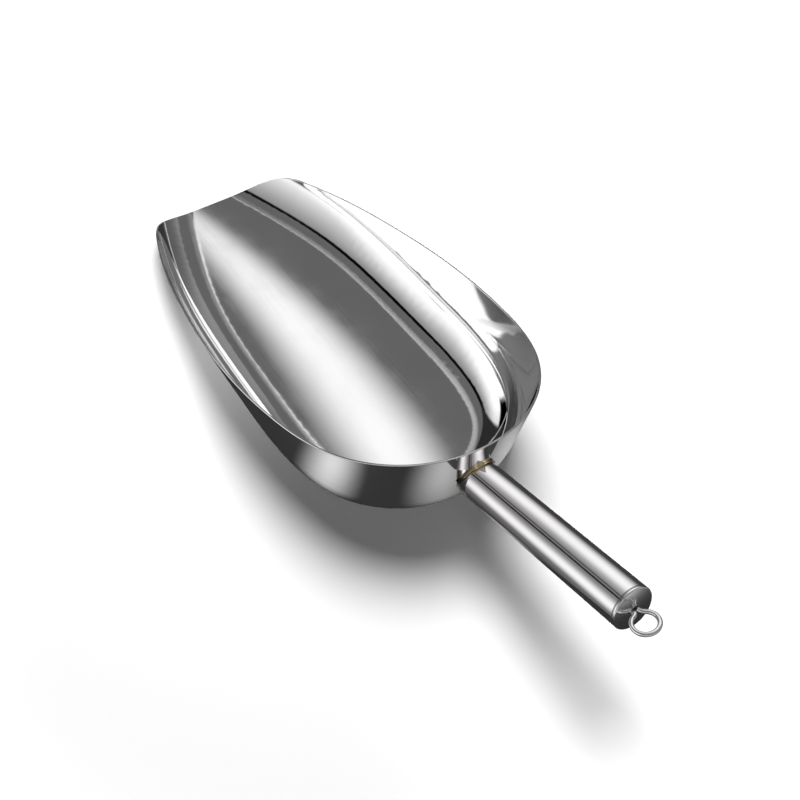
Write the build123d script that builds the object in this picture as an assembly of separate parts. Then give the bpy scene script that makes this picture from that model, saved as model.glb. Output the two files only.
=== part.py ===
from build123d import *
import math
import os

# Stainless steel ice scoop: a pressed sheet bowl, a welded tube handle closed by a domed cap,
# and a wire hanging loop that turns in the cap.
# Millimetres. +Z is up, +Y is towards the mouth, and the handle leaves towards -Y.
# The scoop is the same on both sides of X = 0. The origin is under the middle of the whole
# length, on the surface that the bowl stands on.

# Sheet and bowl
SHEET = 1.0                  # thickness of the pressed sheet
FLOOR_BEND = 26.0            # inner radius between the floor and the walls
PAN_HEIGHT = 84.0            # height that the walls are drawn to before they are trimmed
OUTLINE_HEIGHT = 80.0        # height at which the flared outline below is given

# Floor outline, half of it, from the rear arc to the mouth: (half width, distance along Y)
FLOOR_REAR = -25.9
FLOOR_REAR_RADIUS = 64.7
FLOOR_SIDE = [(63.5, 32.0), (60.6, 80.0), (55.7, 175.0), (39.6, 240.0), (32.5, 262.0)]

# Wall outline at OUTLINE_HEIGHT, half of it, point for point with the floor's
WALL_REAR = -46.6
WALL_REAR_RADIUS = 61.0
WALL_SIDE = [(68.8, 32.0), (79.8, 80.0), (66.4, 175.0), (46.5, 240.0), (39.2, 262.0)]

# Side view of the trimmed rim, (along Y, height), from the rear to the start of the mouth corner
RIM_SIDE_VIEW = [(-64.0, 71.8), (12.0, 52.6), (115.0, 33.8), (200.0, 21.2), (212.5, 19.4)]
LIP_Y = 245.8                # the lip, where the floor ends
RIM_ROUNDING = 0.35          # the trimmed edge is ground round

# Handle
TUBE_RADIUS = 10.0
TUBE_WALL = 1.2
HANDLE_TILT = 16.0           # degrees that the handle rises towards its end
HANDLE_AXIS_Y = -54.5        # one point of the handle's axis
HANDLE_AXIS_Z = 38.8
TUBE_END = 83.0             # from that point to the end of the tube, along the axis
WELD_LEG = 0.9               # size of the weld bead around the tube

# End cap, welded to the tube and polished flush
CAP_EDGE = 1.2               # straight edge of the cap behind the tube
CAP_DOME = 1.1               # height of its dome
CAP_ROUNDING = 0.6           # radius between edge and dome
CAP_SHEET = 1.0
CAP_SKIRT = 5.0              # length of its skirt inside the tube
SEAM_DEPTH = 0.4             # V groove that the seam weld fills

# Hanging loop: one bent wire with both legs through the cap, and the washer closed on them inside
WIRE_RADIUS = 1.0
LEG_OFFSET = 1.1             # from the handle's axis to the middle of each leg
LOOP_RADIUS = 5.4            # middle of the wire in the round part
LOOP_REACH = 7.2             # from the cap's face to the middle of the round part
LOOP_LEAN = 9.5              # degrees that the round part leans towards -X
LOOP_OPENING = 42.0          # half the angle of the round part that the neck takes up
LEG_RISE = 0.2               # straight part of the legs outside the cap's face
LEG_LENGTH = 4.4             # legs inside the cap's face
LOOP_TURN = 5.0              # degrees that the loop is turned about the handle's axis
HOLE_CLEARANCE = 0.06
RETAINER_RADIUS = 5.0
RETAINER_THICKNESS = 1.4
RETAINER_GAP = 0.35          # end play of the loop


def pan_section(height, inset):
    """The bowl's section at a height, moved in by inset: a smooth symmetric outline, closed
    across the mouth."""
    share = height / OUTLINE_HEIGHT
    rear = FLOOR_REAR + share * (WALL_REAR - FLOOR_REAR)
    radius = FLOOR_REAR_RADIUS + share * (WALL_REAR_RADIUS - FLOOR_REAR_RADIUS)
    half = []
    for turn in (30, 60):
        across = (radius - inset) * math.sin(math.radians(turn))
        along = rear + radius - (radius - inset) * math.cos(math.radians(turn))
        half.append((across, along))
    for low, high in zip(FLOOR_SIDE, WALL_SIDE):
        half.append((low[0] + share * (high[0] - low[0]) - inset, low[1]))
    left = [(-across, along, height) for across, along in reversed(half)]
    right = [(across, along, height) for across, along in half]
    curve = Spline(left + [(0, rear + inset, height)] + right)
    return make_face([curve, Line(curve @ 1, curve @ 0)])


def solid_pan(inset):
    """The bowl as a full block, before it is trimmed: its outside, or that moved in by inset."""
    block = loft([pan_section(inset, inset), pan_section(PAN_HEIGHT, inset)], ruled=True)
    floor = block.faces().sort_by(Axis.Z)[0]
    mouth = block.faces().sort_by(Axis.Y)[-1]
    corner = [edge for edge in floor.edges() if edge not in mouth.edges()]
    return fillet(corner, FLOOR_BEND + SHEET - inset)


def above_rim():
    """Everything over the trimmed rim and in front of the lip, seen from the side."""
    first, last = RIM_SIDE_VIEW[0], RIM_SIDE_VIEW[-1]
    rim = Spline([(0, along, height) for along, height in RIM_SIDE_VIEW])
    mouth = TangentArc((0, last[0], last[1]), (0, LIP_Y + 1, -1), tangent=rim % 1)
    far = LIP_Y + 40
    high = PAN_HEIGHT + 20
    border = Polyline((0, LIP_Y + 1, -1), (0, far, -1), (0, far, high), (0, first[0], high),
                      (0, first[0], first[1]))
    side_view = make_face([rim, mouth, border])
    return extrude(side_view, amount=150, dir=(1, 0, 0), both=True)


def scoop_bowl(block):
    """The pressed sheet bowl: one sheet thick, trimmed obliquely, with a rounded rim."""
    bowl = block - solid_pan(SHEET) - above_rim()
    trimmed = bowl.faces().filter_by(GeomType.EXTRUSION) + bowl.faces().filter_by(GeomType.CYLINDER)
    pressed = bowl.faces() - trimmed
    rim = trimmed.edges() & pressed.edges()
    return bowl.fillet(RIM_ROUNDING, rim)


def handle_plane(along):
    """A plane square to the handle's axis, looking out of its end."""
    tilt = math.radians(HANDLE_TILT)
    direction = Vector(0, -math.cos(tilt), math.sin(tilt))
    start = Vector(0, HANDLE_AXIS_Y, HANDLE_AXIS_Z)
    return Plane(origin=start + direction * along, x_dir=(1, 0, 0), z_dir=direction)


def handle_tube(block):
    """A straight tube, cut at the front to lie against the bowl's rear wall."""
    start = -30.0
    length = TUBE_END - start
    outside = extrude(handle_plane(start) * Circle(TUBE_RADIUS), amount=length)
    inside = extrude(handle_plane(start) * Circle(TUBE_RADIUS - TUBE_WALL), amount=length)
    tube = outside - inside - block - groove()
    return tube.solids().sort_by(Axis.Y)[0]


def groove():
    """The V groove round the joint of tube and cap, which is also the shape of its weld."""
    outline_points = Polyline((TUBE_RADIUS, -SEAM_DEPTH), (TUBE_RADIUS - SEAM_DEPTH, 0),
                              (TUBE_RADIUS, SEAM_DEPTH), close=True)
    ring = revolve(Plane.XZ * make_face(outline_points), axis=Axis.Z)
    return handle_plane(TUBE_END).location * ring


def bowl_weld(block):
    """The bead that runs round the tube where it meets the bowl."""
    near = extrude(handle_plane(-20) * Circle(TUBE_RADIUS + WELD_LEG), amount=40)
    tube = extrude(handle_plane(-25) * Circle(TUBE_RADIUS), amount=50)
    bead = (near & solid_pan(-WELD_LEG)) - block - tube
    return bead.solids().sort_by(Axis.Y)[0]


def end_cap():
    """A domed cap with a flat edge on the tube's end, a skirt inside and a hole for the loop."""
    skirt = TUBE_RADIUS - TUBE_WALL
    bore = skirt - CAP_SHEET
    hole = LEG_OFFSET + WIRE_RADIUS + HOLE_CLEARANCE
    face = CAP_EDGE + CAP_DOME
    dome = (TUBE_RADIUS ** 2 + CAP_DOME ** 2) / (2 * CAP_DOME)
    hole_top = face - dome + math.sqrt(dome ** 2 - hole ** 2)
    halfway_top = face - dome + math.sqrt(dome ** 2 - (TUBE_RADIUS / 2) ** 2)
    top = ThreePointArc((hole, hole_top), (TUBE_RADIUS / 2, halfway_top), (TUBE_RADIUS, CAP_EDGE))
    rest = Polyline(top @ 1, (TUBE_RADIUS, SEAM_DEPTH), (TUBE_RADIUS - SEAM_DEPTH, 0), (skirt, 0),
                    (skirt, -CAP_SKIRT), (bore, -CAP_SKIRT), (bore, face - CAP_SHEET - CAP_DOME / 2),
                    (hole, face - CAP_SHEET), top @ 0)
    half = make_face([top, rest])
    corner = half.vertices().sort_by_distance((TUBE_RADIUS, CAP_EDGE))[0]
    half = fillet(corner, CAP_ROUNDING)
    cap = revolve(Plane.XZ * half, axis=Axis.Z)
    return handle_plane(TUBE_END).location * cap


def loop_frame():
    """The loop's own place: on the cap's face, turned about the handle's axis."""
    face = handle_plane(TUBE_END + CAP_EDGE + CAP_DOME)
    return face.location * Rot(0, 0, LOOP_TURN)


def hanging_loop():
    """One wire: a leg, a bend, the round part, a bend and a leg. The round part leans a little."""
    lean = math.radians(LOOP_LEAN)
    middle = (-LOOP_REACH * math.sin(lean), LOOP_REACH * math.cos(lean))
    legs = []
    bends = []
    for side in (1, -1):
        leave = -math.pi / 2 + lean + side * math.radians(LOOP_OPENING)
        start = (middle[0] + LOOP_RADIUS * math.cos(leave), 0,
                 middle[1] + LOOP_RADIUS * math.sin(leave))
        along = (-side * math.sin(leave), 0, side * math.cos(leave))
        leg = Line((side * LEG_OFFSET, 0, -LEG_LENGTH), (side * LEG_OFFSET, 0, LEG_RISE))
        legs.append(leg)
        bends.append(Spline([leg @ 1, start], tangents=[(0, 0, 1), along]))
    far = (middle[0] - LOOP_RADIUS * math.sin(lean), 0, middle[1] + LOOP_RADIUS * math.cos(lean))
    ring = ThreePointArc(bends[0] @ 1, far, bends[1] @ 1)
    path = Wire([legs[0], bends[0], ring, bends[1], legs[1]])
    section = Plane(origin=legs[0] @ 0, z_dir=(0, 0, 1)) * Circle(WIRE_RADIUS)
    return loop_frame() * sweep(section, path=path)


def loop_retainer():
    """The washer on the legs inside the cap, which holds the loop and lets it turn."""
    under_cap = -CAP_SHEET - RETAINER_GAP
    washer = Pos(0, 0, under_cap) * extrude(Circle(RETAINER_RADIUS), amount=-RETAINER_THICKNESS)
    for side in (-1, 1):
        leg = extrude(Pos(side * LEG_OFFSET, 0) * Circle(WIRE_RADIUS), amount=20, both=True)
        washer -= leg
    return loop_frame() * washer


def write_parts():
    """Model every piece, centre the scoop along Y and write one file for each piece."""
    block = solid_pan(0)
    pieces = {
        "scoop_bowl": scoop_bowl(block),
        "handle_tube": handle_tube(block),
        "bowl_weld": bowl_weld(block),
        "end_cap": end_cap(),
        "cap_seam": groove(),
        "hanging_loop": hanging_loop(),
        "loop_retainer": loop_retainer(),
    }
    rear = min(piece.bounding_box().min.Y for piece in pieces.values())
    front = max(piece.bounding_box().max.Y for piece in pieces.values())
    centre = Pos(0, -(rear + front) / 2, 0)
    os.makedirs("parts", exist_ok=True)
    for name, piece in pieces.items():
        export_step(centre * piece, "parts/" + name + ".step")


write_parts()
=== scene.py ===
"""Looks for the stainless steel ice scoop: mirror-polished steel, a pale floor and soft studio light.

All lengths are metres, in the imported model's frame: +Y is the mouth, the grip runs towards -Y, +Z is up.
Azimuth is in degrees, 0 over the mouth and growing towards +X; elevation is in degrees above the floor.
Names that hold (from, to) or (from, to, value at from, value at to) are soft changes along an angle or
a distance.
"""

import math

import bpy
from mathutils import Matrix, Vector


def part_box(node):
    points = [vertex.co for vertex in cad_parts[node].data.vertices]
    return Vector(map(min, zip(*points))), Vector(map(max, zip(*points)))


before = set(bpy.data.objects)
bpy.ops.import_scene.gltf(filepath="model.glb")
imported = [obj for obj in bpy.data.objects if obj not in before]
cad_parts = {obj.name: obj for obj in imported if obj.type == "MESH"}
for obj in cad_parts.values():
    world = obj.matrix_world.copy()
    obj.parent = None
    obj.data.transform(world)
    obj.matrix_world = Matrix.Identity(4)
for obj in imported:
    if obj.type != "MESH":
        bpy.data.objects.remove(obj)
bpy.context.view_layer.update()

# Camera
CAMERA_AZIMUTH = -33.327
CAMERA_ELEVATION = 49.878
CAMERA_DISTANCE = 0.49114
CAMERA_TARGET = (-0.00934, -0.03360, 0.04473)
CAMERA_LENS = 46.60
SENSOR_WIDTH = 36.0
CLIP_START = 0.01

# Floor: white paint, with a glow of its own beyond the reach of the key light
FLOOR_HALF = 4.0
FLOOR_PAINT = (0.9, 0.9, 0.9, 1.0)
FLOOR_ROUGHNESS = 0.9
FLOOR_SPECULAR = 0.1
LIT_RADIUS = 0.19
LIT_FADE = 2.6

# Key light: a disk overhead
KEY_PLACE = (0.246, 0.286, 1.15)
KEY_SIZE = 0.76
KEY_POWER = 21.0

# Fills that lift the shadow beside the mouth and past the grip's end: (place, aim, watts)
FILL_ANGLE = 15.0
FILL_SIZE = 0.06
FILLS = [((-0.38, 0.28, 0.34), (-0.082, 0.098, 0.0), 8.0),
         ((-0.06, -0.52, 0.42), (-0.009, -0.208, 0.0), 6.0)]

# A glowing sheet that only the steel sees, standing in for the floor: a painted shadow, dark near the scoop
# and whiter further off, with painted lit patches.
# The distance from the bowl is taken round a lengthened outline; that from the grip is shortened.
GLOW_DROP = -0.0005
GLOW_BOWL_MIDDLE = 0.06
GLOW_BOWL_STRETCH = 0.55
GLOW_BOWL_RADIUS = 0.05
GLOW_GRIP_ENDS = (-0.20, -0.10)
GLOW_GRIP_SHARE = 0.6
GLOW_PAINTED_SHADOW = (0.03, 0.30, 0.035, 0.95)
GLOW_RIGHT = (0.10, 0.60, 1.0, 0.10)
# Painted lit patches: (x, y, radius, brightness)
GLOW_PATCHES = [(-0.082, -0.040, 0.034, 0.70), (-0.012, -0.095, 0.034, 0.42), (0.042, -0.068, 0.040, 0.45)]

# The studio as the steel sees it
# The big softbox to the left: its far and near parts, the slanting line between them and its right edge
SOFTBOX_FAR = (0.0, 52.0, 0.95, 0.31)
SOFTBOX_NEAR = (24.0, 50.0, 1.15, 0.28)
SOFTBOX_SLANT = 0.7
SOFTBOX_SLANT_FOOT = 18.0
SOFTBOX_NEARNESS = (-66.0, -48.0)
SOFTBOX_FALL_OFF = (-28.0, -12.0, 1.0, 0.72)
SOFTBOX_EDGE = (-9.0, -13.0)
SOFTBOX_FOOT = (14.0, 18.0)
SOFTBOX_FOOT_END = (-27.0, -36.0)
SOFTBOX_OPEN_TOP = (-28.0, -40.0)
# The grey ceiling
CEILING_BRIGHTNESS = 0.9
CEILING_EDGE = (56.5, 61.0)
CEILING_OVER_GAP = 0.13
CEILING_OVER_BOX = 0.28
CEILING_LIFT = (-16.0, -42.0)
# The grey wall to the right, with a paler band down it
WALL_TONE = (30.0, 44.0, 0.17, 0.11)
WALL_TOP = (52.0, 60.0)
WALL_START = (12.0, 24.0)
WALL_BAND_AT = 48.0
WALL_BAND_HALF = 0.5
WALL_BAND_FEATHER = 9.0
WALL_BAND_LIFT = 0.16
# The dark gap over the mouth, which runs up to the left as a seam over the softbox
GAP_BRIGHTNESS = 0.025
SEAM_SLOPE = 0.42
SEAM_TOP = (43.4, 45.6)
SEAM_FOOT = (39.6, 37.4)
# The long strip light, which leans to the right and widens upwards
STRIP_LINE = 20.3
STRIP_WIDTH = (38.0, 52.0, 0.8, 3.7)
STRIP_CORE = 0.1
STRIP_FEATHER = 1.9
STRIP_BRIGHTNESS = (30.0, 46.0, 0.5, 1.05)
STRIP_TOP = (60.0, 54.0)
# The studio in light that has bounced twice or more
DEEP_SLANT = 0.5
DEEP_SLANT_FOOT = 15.0
DEEP_WHITE_EDGE = (-49.0, -51.0)
DEEP_WHITE = 1.25
DEEP_DARK = (-48.0, -20.0, 0.20, 0.05)
DEEP_WALL_START = (20.0, 50.0)
DEEP_WALL = 0.16
DEEP_TOP = (40.0, 50.0)
DEEP_SIDE_EDGE = (48.0, 54.0)
DEEP_SIDE_FOOT = (20.0, 24.0)
DEEP_TOP_BRIGHTNESS = 1.2
THIRD_BOUNCE = (50.0, 57.0, 0.20, 1.0)
# Behind the scoop, and the light that the studio gives to the floor
BEHIND_EDGE = (85.0, 110.0)
BEHIND_TONE = (0.0, 60.0, 0.32, 0.22)
SHADOW_FILL = 0.02

# The bowl's rolled bend: the height of its centre, the sheet's thickness, and where the walls take over
BEND_CENTRE = 0.027
SHEET = 0.001
BEND_TOP = 0.0175
BEND_TOP_FADE = 0.0015
BEND_EASE = 0.035
BEND_TRUST = (0.10, 0.05)
# The satin line where the floor turns up: how far the surface has tilted there, and how rough it is
SATIN_START = 0.0006
SATIN_FULL = 0.0084
SATIN_END = 0.028
SATIN_ROUGHNESS = 0.20

# All steel: the sizes of its tone and haze patches, where they change over, and the depth of its grain
DRIFT_SCALE = 22.0
DRIFT_RANGE = (0.35, 0.65)
HAZE_SCALE = 60.0
GRAIN_DISTANCE = 0.0002

# Heat tint along the grip from the weld. Up the weld bead, part heat tint and part painted light: a painted
# gold highlight along its top, painted shade lower down
TINT_LENGTH = 0.085
HEAT_TINT = [(0.0, (0.95, 0.88, 0.76)), (0.05, (0.93, 0.89, 0.90)), (0.16, (0.965, 0.945, 0.96)),
             (0.55, (0.99, 0.975, 0.985)), (1.0, (1.0, 1.0, 1.0))]
WELD_TINT_AND_PAINTED_LIGHT = [(0.0, (0.09, 0.08, 0.07)), (0.50, (0.17, 0.14, 0.11)), (0.78, (0.26, 0.21, 0.14)),
             (0.92, (0.60, 0.48, 0.27)), (1.0, (0.95, 0.84, 0.54))]
WELD_PATCH_SCALE = 400.0
WELD_PATCH_DEPTH = 0.25

# The cap's turned polishing rings
CAP_RING_SCALE = 900.0
CAP_RING_WAVER = 1.5
CAP_RING_DEPTH = 0.03

# The grip's own softbox: a cone-shaped ring that stands across the grip's line, over the bowl's rear.
# It carries a white panel on each side, a faint glow outside the left one, a grey panel between them,
# and two dark seams. They are laid out, in degrees round the grip from straight up, for a view from
# RING_VIEW degrees to the left of that.
GRIP_TILT = 16.0
RING_GAP = 0.0015
RING_LEAN = 0.68
RING_INNER = 0.0102
RING_OUTER = 0.24
RING_STEPS = 60
RING_REACH = 150.0
RING_VIEW = 31.0
RING_DIM = 0.05
# (middle, half width, soft edge, brightness)
RING_PANELS = [(-110.0, 5.0, 60.0, 0.12), (-85.0, 3.0, 38.0, 0.87), (-32.0, 12.0, 26.0, 0.17),
               (35.0, 3.0, 57.0, 0.95)]
# (middle, half width, soft edge, share of the light that is lost there)
RING_SEAMS = [(-36.5, 1.5, 5.0, 0.95), (-23.0, 1.0, 5.0, 0.65)]


class Nodes:
    """A small helper that adds nodes to one tree and joins them."""

    def __init__(self, tree):
        self.tree = tree

    def add(self, kind, **settings):
        node = self.tree.nodes.new(kind)
        for name, value in settings.items():
            setattr(node, name, value)
        return node

    def feed(self, socket, value):
        if isinstance(value, bpy.types.NodeSocket):
            self.tree.links.new(value, socket)
        else:
            socket.default_value = value

    def math(self, operation, *values):
        node = self.add("ShaderNodeMath", operation=operation)
        for socket, value in zip(node.inputs, values):
            self.feed(socket, value)
        return node.outputs[0]

    def fade(self, value, start, end, low=0.0, high=1.0, kind="SMOOTHSTEP"):
        """low where value is at start, high where it is at end, with a soft change between them."""
        node = self.add("ShaderNodeMapRange", interpolation_type=kind)
        for name, item in (("Value", value), ("From Min", start), ("From Max", end),
                           ("To Min", low), ("To Max", high)):
            self.feed(node.inputs[name], item)
        return node.outputs["Result"]

    def blend(self, factor, first, second):
        """A number between first, where factor is 0, and second, where it is 1."""
        node = self.add("ShaderNodeMix", data_type="FLOAT")
        self.feed(node.inputs[0], factor)
        self.feed(node.inputs[2], first)
        self.feed(node.inputs[3], second)
        return node.outputs[0]

    def length(self, across, along):
        return self.math("SQRT", self.math("ADD", self.math("MULTIPLY", across, across),
                                           self.math("MULTIPLY", along, along)))

    def band(self, value, middle, half, feather):
        """1 within half of middle, 0 further than half plus feather from it."""
        away = self.math("ABSOLUTE", self.math("SUBTRACT", value, middle))
        return self.fade(away, half, half + feather, 1.0, 0.0)

    def split(self, vector):
        """The three numbers of a vector."""
        node = self.add("ShaderNodeSeparateXYZ")
        self.feed(node.inputs[0], vector)
        return node.outputs

    def position(self):
        """Where the point is, as x, y and z."""
        return self.split(self.add("ShaderNodeNewGeometry").outputs["Position"])

    def object_place(self):
        return self.add("ShaderNodeTexCoord").outputs["Object"]

    def ramp(self, value, stops):
        """A smooth colour ramp; stops are (position, colour)."""
        node = self.add("ShaderNodeValToRGB")
        node.color_ramp.interpolation = "EASE"
        points = node.color_ramp.elements
        while len(points) < len(stops):
            points.new(0.5)
        for point, (position, colour) in zip(points, stops):
            point.position = position
            point.color = (*colour, 1.0)
        self.feed(node.inputs[0], value)
        return node.outputs[0]

    def noise(self, vector, scale, detail=2.0, roughness=0.5):
        node = self.add("ShaderNodeTexNoise")
        self.feed(node.inputs["Vector"], vector)
        node.inputs["Scale"].default_value = scale
        node.inputs["Detail"].default_value = detail
        node.inputs["Roughness"].default_value = roughness
        return node.outputs["Fac"]

    def stretched(self, vector, scale, turn):
        """A place turned by some degrees about each axis, then scaled along each."""
        node = self.add("ShaderNodeMapping")
        self.feed(node.inputs["Vector"], vector)
        node.inputs["Rotation"].default_value = [math.radians(angle) for angle in turn]
        node.inputs["Scale"].default_value = scale
        return node.outputs[0]


def link(thing):
    bpy.context.scene.collection.objects.link(thing)
    return thing


def wide_plane(name, height, material):
    """A flat square at a height, far wider than the scoop."""
    mesh = bpy.data.meshes.new(name)
    corners = [(-FLOOR_HALF, -FLOOR_HALF, height), (FLOOR_HALF, -FLOOR_HALF, height),
               (FLOOR_HALF, FLOOR_HALF, height), (-FLOOR_HALF, FLOOR_HALF, height)]
    mesh.from_pydata(corners, [], [(0, 1, 2, 3)])
    mesh.materials.append(material)
    return link(bpy.data.objects.new(name, mesh))


def empty_material(name):
    """A material with no nodes yet, and the helper for its tree."""
    material = bpy.data.materials.new(name)
    material.use_nodes = True
    material.node_tree.nodes.clear()
    return material, Nodes(material.node_tree)


def only_in_reflections(thing):
    thing.visible_camera = False
    thing.visible_diffuse = False
    thing.visible_shadow = False


def add_camera():
    """The viewpoint that looks down into the bowl from behind and to the left of the grip."""
    azimuth = math.radians(CAMERA_AZIMUTH)
    elevation = math.radians(CAMERA_ELEVATION)
    back = Vector((math.sin(azimuth) * math.cos(elevation),
                   -math.cos(azimuth) * math.cos(elevation),
                   math.sin(elevation)))
    data = bpy.data.cameras.new("camera")
    data.lens = CAMERA_LENS
    data.sensor_width = SENSOR_WIDTH
    data.clip_start = CLIP_START
    camera = link(bpy.data.objects.new("camera", data))
    camera.location = Vector(CAMERA_TARGET) + back * CAMERA_DISTANCE
    camera.rotation_mode = "QUATERNION"
    camera.rotation_quaternion = (-back).to_track_quat("-Z", "Y")
    bpy.context.scene.camera = camera


def add_floor():
    """A plain white floor, which stays white beyond the reach of the key light."""
    material = bpy.data.materials.new("floor")
    material.use_nodes = True
    shader = material.node_tree.nodes["Principled BSDF"]
    shader.inputs["Base Color"].default_value = FLOOR_PAINT
    shader.inputs["Roughness"].default_value = FLOOR_ROUGHNESS
    shader.inputs["Specular IOR Level"].default_value = FLOOR_SPECULAR
    shader.inputs["Emission Color"].default_value = (1.0, 1.0, 1.0, 1.0)
    n = Nodes(material.node_tree)
    x, y, _ = n.position()
    away = n.length(x, y)
    n.feed(shader.inputs["Emission Strength"], n.fade(away, LIT_RADIUS, LIT_FADE * LIT_RADIUS))
    floor = wide_plane("floor", 0, material)
    floor.visible_glossy = False


def add_floor_glow():
    """A glowing sheet seen only in reflections: a painted shadow, dark close to the scoop and whiter further
    off, with painted lit patches.
    """
    material, n = empty_material("floor_glow")
    x, y, _ = n.position()
    along_bowl = n.math("MULTIPLY", n.math("SUBTRACT", y, GLOW_BOWL_MIDDLE), GLOW_BOWL_STRETCH)
    from_bowl = n.math("SUBTRACT", n.length(x, along_bowl), GLOW_BOWL_RADIUS)
    grip_rear, grip_front = GLOW_GRIP_ENDS
    past_grip = n.math("MAXIMUM", n.math("SUBTRACT", grip_rear, y), 0.0)
    ahead_of_grip = n.math("MAXIMUM", n.math("SUBTRACT", y, grip_front), 0.0)
    from_grip = n.math("MULTIPLY", n.length(x, n.math("ADD", past_grip, ahead_of_grip)), GLOW_GRIP_SHARE)
    # Painted shadow: dark close to the bowl and the grip, lighter further off, and dimmer far to the right
    level = n.fade(n.math("MINIMUM", from_bowl, from_grip), *GLOW_PAINTED_SHADOW)
    level = n.math("MULTIPLY", level, n.fade(x, *GLOW_RIGHT))
    for patch_x, patch_y, radius, brightness in GLOW_PATCHES:
        apart = n.length(n.math("SUBTRACT", x, patch_x), n.math("SUBTRACT", y, patch_y))
        level = n.math("ADD", level, n.fade(apart, radius, 0.0, 0.0, brightness))
    light = n.add("ShaderNodeEmission")
    n.feed(light.inputs["Strength"], level)
    n.feed(n.add("ShaderNodeOutputMaterial").inputs[0], light.outputs[0])
    glow = wide_plane("floor_glow", GLOW_DROP, material)
    only_in_reflections(glow)


def add_light(name, kind, place, aim, watts):
    """A light at a place, turned to its aim, that neither the camera nor the steel sees."""
    data = bpy.data.lights.new(name, kind)
    data.energy = watts
    light = link(bpy.data.objects.new(name, data))
    light.location = place
    light.rotation_euler = (Vector(aim) - light.location).to_track_quat("-Z", "Y").to_euler()
    light.visible_glossy = False
    light.visible_camera = False
    return data


def add_key_light():
    """A wide softbox overhead, which draws the soft shadow."""
    data = add_light("key", "AREA", KEY_PLACE, (0.0, 0.0, 0.0), KEY_POWER)
    data.shape = "DISK"
    data.size = KEY_SIZE


def add_fills():
    """Two soft spots on the floor."""
    for number, (place, aim, watts) in enumerate(FILLS):
        data = add_light(f"fill_{number + 1}", "SPOT", place, aim, watts)
        data.spot_size = math.radians(FILL_ANGLE)
        data.spot_blend = 1.0
        data.shadow_soft_size = FILL_SIZE


def slanted(n, azimuth, elevation, foot, slope):
    """The azimuth measured from a line that leans by slope and starts at the foot's elevation."""
    return n.math("SUBTRACT", azimuth, n.math("MULTIPLY", n.math("SUBTRACT", elevation, foot), slope))


def softbox_brightness(n, azimuth, elevation):
    """The big softbox to the left: white low down, grey towards its top."""
    far = n.fade(elevation, *SOFTBOX_FAR, "LINEAR")
    near = n.fade(elevation, *SOFTBOX_NEAR)
    slant = slanted(n, azimuth, elevation, SOFTBOX_SLANT_FOOT, SOFTBOX_SLANT)
    both = n.blend(n.fade(slant, *SOFTBOX_NEARNESS), far, near)
    return n.math("MULTIPLY", both, n.fade(azimuth, *SOFTBOX_FALL_OFF))


def right_wall_brightness(n, azimuth, elevation):
    """The grey wall to the right, up to the ceiling."""
    pale = n.band(azimuth, WALL_BAND_AT, WALL_BAND_HALF, WALL_BAND_FEATHER)
    wall = n.math("ADD", n.fade(azimuth, *WALL_TONE), n.math("MULTIPLY", pale, WALL_BAND_LIFT))
    ceiling = n.fade(elevation, *CEILING_EDGE, CEILING_OVER_GAP, CEILING_BRIGHTNESS)
    return n.blend(n.fade(elevation, *WALL_TOP), wall, ceiling)


def strip_brightness(n, azimuth, elevation):
    """The long bright strip light."""
    line = n.math("SUBTRACT", n.math("SUBTRACT", elevation, azimuth), STRIP_LINE)
    width = n.fade(elevation, *STRIP_WIDTH, "LINEAR")
    strip = n.band(n.math("DIVIDE", line, width), 0.0, STRIP_CORE, STRIP_FEATHER)
    strip = n.math("MULTIPLY", strip, n.fade(elevation, *STRIP_BRIGHTNESS))
    return n.math("MULTIPLY", strip, n.fade(elevation, *STRIP_TOP))


def studio_brightness(n, azimuth, elevation):
    """What the polished steel sees: softboxes and the dark gaps between them."""
    softbox = softbox_brightness(n, azimuth, elevation)
    seam_line = n.math("ADD", elevation, n.math("MULTIPLY", azimuth, SEAM_SLOPE))
    above_seam = n.fade(seam_line, *SEAM_TOP)
    below_seam = n.fade(seam_line, *SEAM_FOOT)
    left_edge = n.fade(azimuth, *SOFTBOX_EDGE)
    left_foot = n.math("MAXIMUM", n.fade(elevation, *SOFTBOX_FOOT), n.fade(azimuth, *SOFTBOX_FOOT_END))
    box = n.math("MULTIPLY", n.math("MULTIPLY", softbox, left_foot),
                 n.math("MULTIPLY", left_edge, below_seam))
    top = n.blend(n.fade(azimuth, *CEILING_LIFT), CEILING_OVER_GAP, CEILING_OVER_BOX)
    top = n.blend(n.fade(elevation, *CEILING_EDGE), top, CEILING_BRIGHTNESS)
    top = n.math("MULTIPLY", top, above_seam)
    dark = n.blend(n.fade(azimuth, *WALL_START), GAP_BRIGHTNESS, right_wall_brightness(n, azimuth, elevation))
    in_gap = n.math("SUBTRACT", 1.0, n.math("MAXIMUM", above_seam, left_edge))
    total = n.math("ADD", n.math("MAXIMUM", box, top), n.math("MULTIPLY", dark, in_gap))
    # Far to the left the softbox goes on up into the ceiling without a seam
    total = n.blend(n.fade(azimuth, *SOFTBOX_OPEN_TOP), total, softbox)
    return n.math("MAXIMUM", total, strip_brightness(n, azimuth, elevation))


def deep_brightness(n, azimuth, elevation):
    """What light that has bounced twice inside the bowl brings: the same studio, with harder contrast."""
    slant = slanted(n, azimuth, elevation, DEEP_SLANT_FOOT, DEEP_SLANT)
    dark = n.blend(n.fade(azimuth, *DEEP_WALL_START), n.fade(azimuth, *DEEP_DARK), DEEP_WALL)
    level = n.blend(n.fade(slant, *DEEP_WHITE_EDGE), dark, DEEP_WHITE)
    right_side = n.math("MULTIPLY", n.fade(azimuth, *DEEP_SIDE_EDGE), n.fade(elevation, *DEEP_SIDE_FOOT))
    high = n.math("MAXIMUM", n.fade(elevation, *DEEP_TOP), right_side)
    return n.blend(high, level, DEEP_TOP_BRIGHTNESS)


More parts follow.
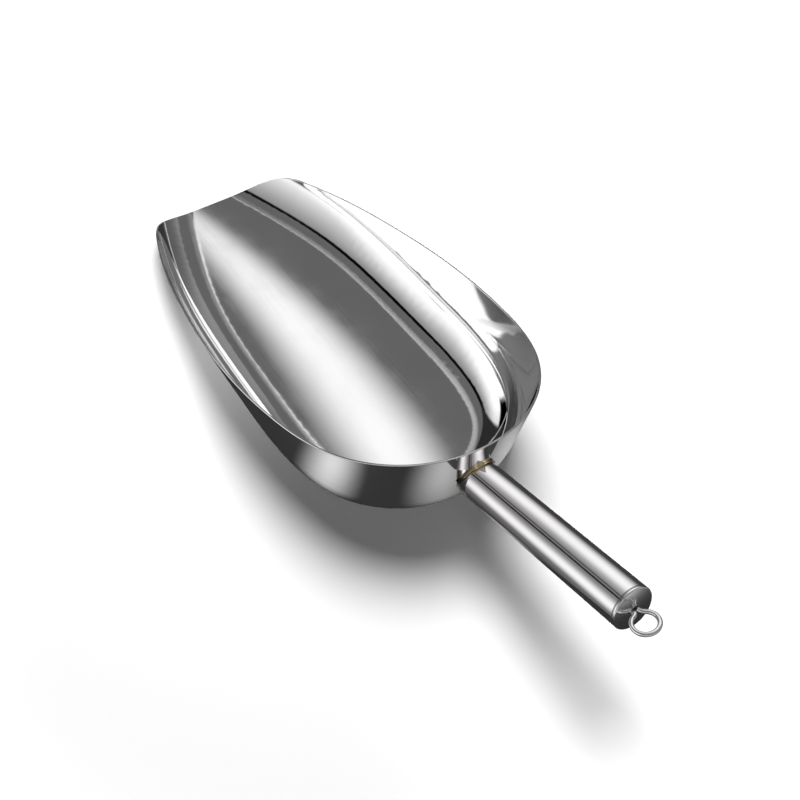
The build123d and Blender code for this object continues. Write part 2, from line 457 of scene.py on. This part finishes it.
def add_studio():
    """The world: white to the camera, the studio to reflections, and a dim fill to the floor."""
    world = bpy.data.worlds.new("studio")
    bpy.context.scene.world = world
    world.use_nodes = True
    n = Nodes(world.node_tree)
    background = world.node_tree.nodes["Background"]
    background.inputs["Color"].default_value = (1.0, 1.0, 1.0, 1.0)
    x, y, z = n.split(n.add("ShaderNodeTexCoord").outputs["Generated"])
    azimuth = n.math("DEGREES", n.math("ARCTAN2", x, y))
    elevation = n.math("DEGREES", n.math("ARCSINE", z))
    above_floor = n.math("MAXIMUM", elevation, 0.0)
    path = n.add("ShaderNodeLightPath").outputs
    once = studio_brightness(n, azimuth, above_floor)
    twice = deep_brightness(n, azimuth, above_floor)
    thrice = n.fade(elevation, *THIRD_BOUNCE)
    studio = n.blend(n.math("GREATER_THAN", path["Glossy Depth"], 1.5), once, twice)
    studio = n.blend(n.math("GREATER_THAN", path["Glossy Depth"], 2.5), studio, thrice)
    # Behind the scoop the studio is a plain soft grey
    behind = n.fade(n.math("ABSOLUTE", azimuth), *BEHIND_EDGE)
    studio = n.blend(behind, studio, n.fade(elevation, *BEHIND_TONE))
    seen = n.blend(path["Is Glossy Ray"], SHADOW_FILL, studio)
    seen = n.blend(path["Is Camera Ray"], seen, 1.0)
    n.feed(background.inputs["Strength"], seen)


def ring_mesh(middle, axis, up):
    """An open cone about the grip's line, from close round the grip outwards and back along it."""
    vertices = []
    for step in range(RING_STEPS + 1):
        angle = math.radians(90.0 - RING_REACH + 2 * RING_REACH * step / RING_STEPS)
        out = Vector((-math.cos(angle), 0.0, 0.0)) + up * math.sin(angle)
        for radius in (RING_INNER, RING_OUTER):
            vertices.append(middle + out * radius - axis * RING_LEAN * (radius - RING_INNER))
    faces = [(2 * step, 2 * step + 2, 2 * step + 3, 2 * step + 1) for step in range(RING_STEPS)]
    mesh = bpy.data.meshes.new("grip_ring")
    mesh.from_pydata(vertices, [], faces)
    return mesh


def ring_material(middle, up):
    """Light whose brightness changes round the grip; its back is clear."""
    material, n = empty_material("grip_ring")
    here = n.add("ShaderNodeNewGeometry")
    from_middle = n.add("ShaderNodeVectorMath", operation="SUBTRACT")
    n.feed(from_middle.inputs[0], here.outputs["Position"])
    from_middle.inputs[1].default_value = middle
    across, along, rise = n.split(from_middle.outputs[0])
    upward = n.math("ADD", n.math("MULTIPLY", along, up.y), n.math("MULTIPLY", rise, up.z))
    turn = n.math("DEGREES", n.math("ARCTAN2", across, upward))
    # Close to the weld a reflection lands beside the tube; this keeps the streaks straight right up to it
    out = n.math("MULTIPLY", n.length(across, upward), 2.0)
    spread = n.math("DIVIDE", RING_INNER, n.math("SUBTRACT", out, RING_INNER))
    turn = n.math("ADD", turn, n.math("MULTIPLY", n.math("ADD", turn, RING_VIEW), spread))
    level = RING_DIM
    for panel, half, edge, brightness in RING_PANELS:
        level = n.math("ADD", level, n.math("MULTIPLY", n.band(turn, panel, half, edge), brightness))
    for seam, half, edge, share in RING_SEAMS:
        lost = n.math("MULTIPLY", n.band(turn, seam, half, edge), share)
        level = n.math("MULTIPLY", level, n.math("SUBTRACT", 1.0, lost))
    light = n.add("ShaderNodeEmission")
    n.feed(light.inputs["Strength"], level)
    clear = n.add("ShaderNodeBsdfTransparent")
    pick = n.add("ShaderNodeMixShader")
    n.feed(pick.inputs[0], here.outputs["Backfacing"])
    n.feed(pick.inputs[1], light.outputs[0])
    n.feed(pick.inputs[2], clear.outputs[0])
    n.feed(n.add("ShaderNodeOutputMaterial").inputs[0], pick.outputs[0])
    return material


def add_grip_ring():
    """A one-sided ring of light across the grip's line: its streaks run the length of the grip."""
    axis = Vector((0.0, math.cos(math.radians(GRIP_TILT)), -math.sin(math.radians(GRIP_TILT))))
    up = Vector((0.0, -axis.z, axis.y))
    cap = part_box("end_cap")
    grip_point = Vector((0.0, (cap[0][1] + cap[1][1]) / 2, (cap[0][2] + cap[1][2]) / 2))
    weld_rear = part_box("bowl_weld")[0][1]
    middle = grip_point + axis * ((weld_rear - RING_GAP - grip_point.y) / axis.y)
    mesh = ring_mesh(middle, axis, up)
    mesh.materials.append(ring_material(middle, up))
    ring = link(bpy.data.objects.new("grip_ring", mesh))
    only_in_reflections(ring)


def true_bend_normal(n):
    """The bowl's exact surface direction in its rolled bend, from the height above the floor.

    The mesh's own directions waver a little between its facets, which a mirror finish would show.
    """
    height = n.position()[2]
    across, along, rise = n.split(n.add("ShaderNodeNewGeometry").outputs["Normal"])
    inside = n.math("GREATER_THAN", rise, 0.0)
    reach = n.math("SUBTRACT", BEND_CENTRE, height)
    exact = n.blend(inside, n.math("DIVIDE", reach, -BEND_CENTRE),
                    n.math("DIVIDE", reach, BEND_CENTRE - SHEET))
    exact = n.math("MAXIMUM", n.math("MINIMUM", exact, 1.0), -1.0)
    drop = n.math("SUBTRACT", 1.0, n.math("ABSOLUTE", exact))
    eased = n.math("SUBTRACT", 1.0, n.math("MULTIPLY", drop, n.fade(drop, 0.0, BEND_EASE)))
    exact = n.math("MULTIPLY", eased, n.math("SIGN", exact))
    apart = n.math("ABSOLUTE", n.math("SUBTRACT", exact, rise))
    low_enough = n.fade(height, BEND_TOP + BEND_TOP_FADE, BEND_TOP)
    rise = n.blend(n.math("MULTIPLY", n.fade(apart, *BEND_TRUST), low_enough), rise, exact)
    level = n.math("SQRT", n.math("MAXIMUM", n.math("SUBTRACT", 1.0, n.math("MULTIPLY", rise, rise)), 0.0))
    stretch = n.math("DIVIDE", level, n.length(across, along))
    joined = n.add("ShaderNodeCombineXYZ")
    n.feed(joined.inputs[0], n.math("MULTIPLY", across, stretch))
    n.feed(joined.inputs[1], n.math("MULTIPLY", along, stretch))
    n.feed(joined.inputs[2], rise)
    return joined.outputs[0]


class Steel:
    """Polished stainless steel: a drift of tone, fine polishing lines, and a haze that comes and goes."""

    def __init__(self, name, dark, light, roughness, grain, turn=(0.0, 0.0, 0.0), grain_depth=0.02):
        self.material = bpy.data.materials.new(name)
        self.material.use_nodes = True
        self.shader = self.material.node_tree.nodes["Principled BSDF"]
        self.shader.inputs["Metallic"].default_value = 1.0
        n = self.nodes = Nodes(self.material.node_tree)
        place = n.object_place()
        drift = n.noise(place, DRIFT_SCALE, 3.0)
        self.colour = n.ramp(drift, list(zip(DRIFT_RANGE, (dark, light))))
        n.feed(self.shader.inputs["Base Color"], self.colour)
        lines = n.noise(n.stretched(place, grain, turn), 1.0, 3.0, 0.6)
        haze = n.noise(place, HAZE_SCALE)
        both = n.math("MULTIPLY", n.math("ADD", lines, haze), 0.5)
        self.roughness = n.fade(both, *DRIFT_RANGE, *roughness)
        n.feed(self.shader.inputs["Roughness"], self.roughness)
        self.bump = n.add("ShaderNodeBump")
        self.bump.inputs["Strength"].default_value = grain_depth
        self.bump.inputs["Distance"].default_value = GRAIN_DISTANCE
        n.feed(self.bump.inputs["Height"], lines)
        n.feed(self.shader.inputs["Normal"], self.bump.outputs[0])


def bowl_steel():
    """Mirror-polished sheet, buffed along its length, with a satin line where the floor turns up."""
    steel = Steel("bowl_steel", (0.905, 0.91, 0.905), (0.935, 0.94, 0.935), (0.030, 0.060),
                  (900.0, 25.0, 900.0), grain_depth=0.003)
    n = steel.nodes
    facing = true_bend_normal(n)
    n.feed(steel.bump.inputs["Normal"], facing)
    tilt = n.math("SUBTRACT", 1.0, n.math("ABSOLUTE", n.split(facing)[2]))
    satin = n.math("MULTIPLY", n.fade(tilt, 0.0, SATIN_START), n.fade(tilt, SATIN_END, SATIN_FULL))
    extra = n.math("MULTIPLY", satin, SATIN_ROUGHNESS)
    n.feed(steel.shader.inputs["Roughness"], n.math("ADD", steel.roughness, extra))
    return steel.material


def handle_steel():
    """Drawn tube, polished along its length, with a faint straw and violet heat tint near the weld."""
    steel = Steel("handle_steel", (0.91, 0.905, 0.908), (0.94, 0.935, 0.938), (0.055, 0.095),
                  (1100.0, 14.0, 1100.0), (-GRIP_TILT, 0.0, 0.0), 0.03)
    n = steel.nodes
    behind_weld = n.math("SUBTRACT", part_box("bowl_weld")[1][1], n.position()[1])
    tint = n.ramp(n.fade(behind_weld, 0.0, TINT_LENGTH, 0.0, 1.0, "LINEAR"), HEAT_TINT)
    mix = n.add("ShaderNodeMix", data_type="RGBA", blend_type="MULTIPLY")
    mix.inputs["Factor"].default_value = 1.0
    n.feed(mix.inputs["A"], steel.colour)
    n.feed(mix.inputs["B"], tint)
    n.feed(steel.shader.inputs["Base Color"], mix.outputs["Result"])
    return steel.material


def weld_steel():
    """The weld bead: fine ripples, and a colour that is part heat tint and part painted light: a painted gold
    highlight at its very top and painted brown-black shade lower down.
    """
    steel = Steel("weld_steel", (0.70, 0.66, 0.60), (0.85, 0.82, 0.76), (0.16, 0.30),
                  (1500.0, 1500.0, 1500.0), grain_depth=0.15)
    n = steel.nodes
    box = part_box("bowl_weld")
    # Colour by height up the bead: painted shade low down, a painted highlight at the top, with random
    # heat-tint patches
    height = n.fade(n.position()[2], box[0][2], box[1][2], 0.0, 1.0, "LINEAR")
    patches = n.math("SUBTRACT", n.noise(n.object_place(), WELD_PATCH_SCALE), 0.5)
    tint_and_painted_light = n.math("ADD", height, n.math("MULTIPLY", patches, WELD_PATCH_DEPTH))
    n.feed(steel.shader.inputs["Base Color"], n.ramp(tint_and_painted_light, WELD_TINT_AND_PAINTED_LIGHT))
    return steel.material


def cap_steel():
    """The pressed cap: turned polishing rings about the grip's line."""
    steel = Steel("cap_steel", (0.85, 0.85, 0.855), (0.90, 0.90, 0.905), (0.07, 0.13),
                  (300.0, 300.0, 300.0), grain_depth=CAP_RING_DEPTH)
    n = steel.nodes
    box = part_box("end_cap")
    about = n.add("ShaderNodeMapping", vector_type="TEXTURE")
    n.feed(about.inputs["Vector"], n.object_place())
    about.inputs["Location"].default_value = (0.0, (box[0][1] + box[1][1]) / 2, (box[0][2] + box[1][2]) / 2)
    about.inputs["Rotation"].default_value = (math.radians(-GRIP_TILT), 0.0, 0.0)
    rings = n.add("ShaderNodeTexWave", wave_type="RINGS", rings_direction="Y")
    n.feed(rings.inputs["Vector"], about.outputs[0])
    rings.inputs["Scale"].default_value = CAP_RING_SCALE
    rings.inputs["Distortion"].default_value = CAP_RING_WAVER
    n.feed(steel.bump.inputs["Height"], rings.outputs["Fac"])
    return steel.material


def seam_steel():
    """The closed joint between tube and cap: duller, darker metal with polish left in it."""
    return Steel("seam_steel", (0.28, 0.27, 0.27), (0.45, 0.44, 0.43), (0.28, 0.42),
                 (600.0, 600.0, 600.0), grain_depth=0.08).material


def wire_steel():
    """The drawn wire of the loop."""
    return Steel("wire_steel", (0.86, 0.86, 0.865), (0.93, 0.93, 0.935), (0.05, 0.11),
                 (700.0, 700.0, 90.0), grain_depth=0.05).material


def retainer_steel():
    """The hidden washer inside the cap, brushed and unpolished."""
    return Steel("retainer_steel", (0.58, 0.57, 0.56), (0.70, 0.69, 0.68), (0.24, 0.38),
                 (60.0, 1200.0, 1200.0), grain_depth=0.12).material


FINISHES = {
    "scoop_bowl": bowl_steel,
    "handle_tube": handle_steel,
    "bowl_weld": weld_steel,
    "end_cap": cap_steel,
    "cap_seam": seam_steel,
    "hanging_loop": wire_steel,
    "loop_retainer": retainer_steel,
}

add_camera()
add_floor()
add_floor_glow()
add_grip_ring()
add_key_light()
add_fills()
add_studio()
for name, finish in FINISHES.items():
    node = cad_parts[name]
    node.data.materials.clear()
    node.data.materials.append(finish())
    node.visible_diffuse = False
bpy.context.scene.view_settings.view_transform = "Standard"
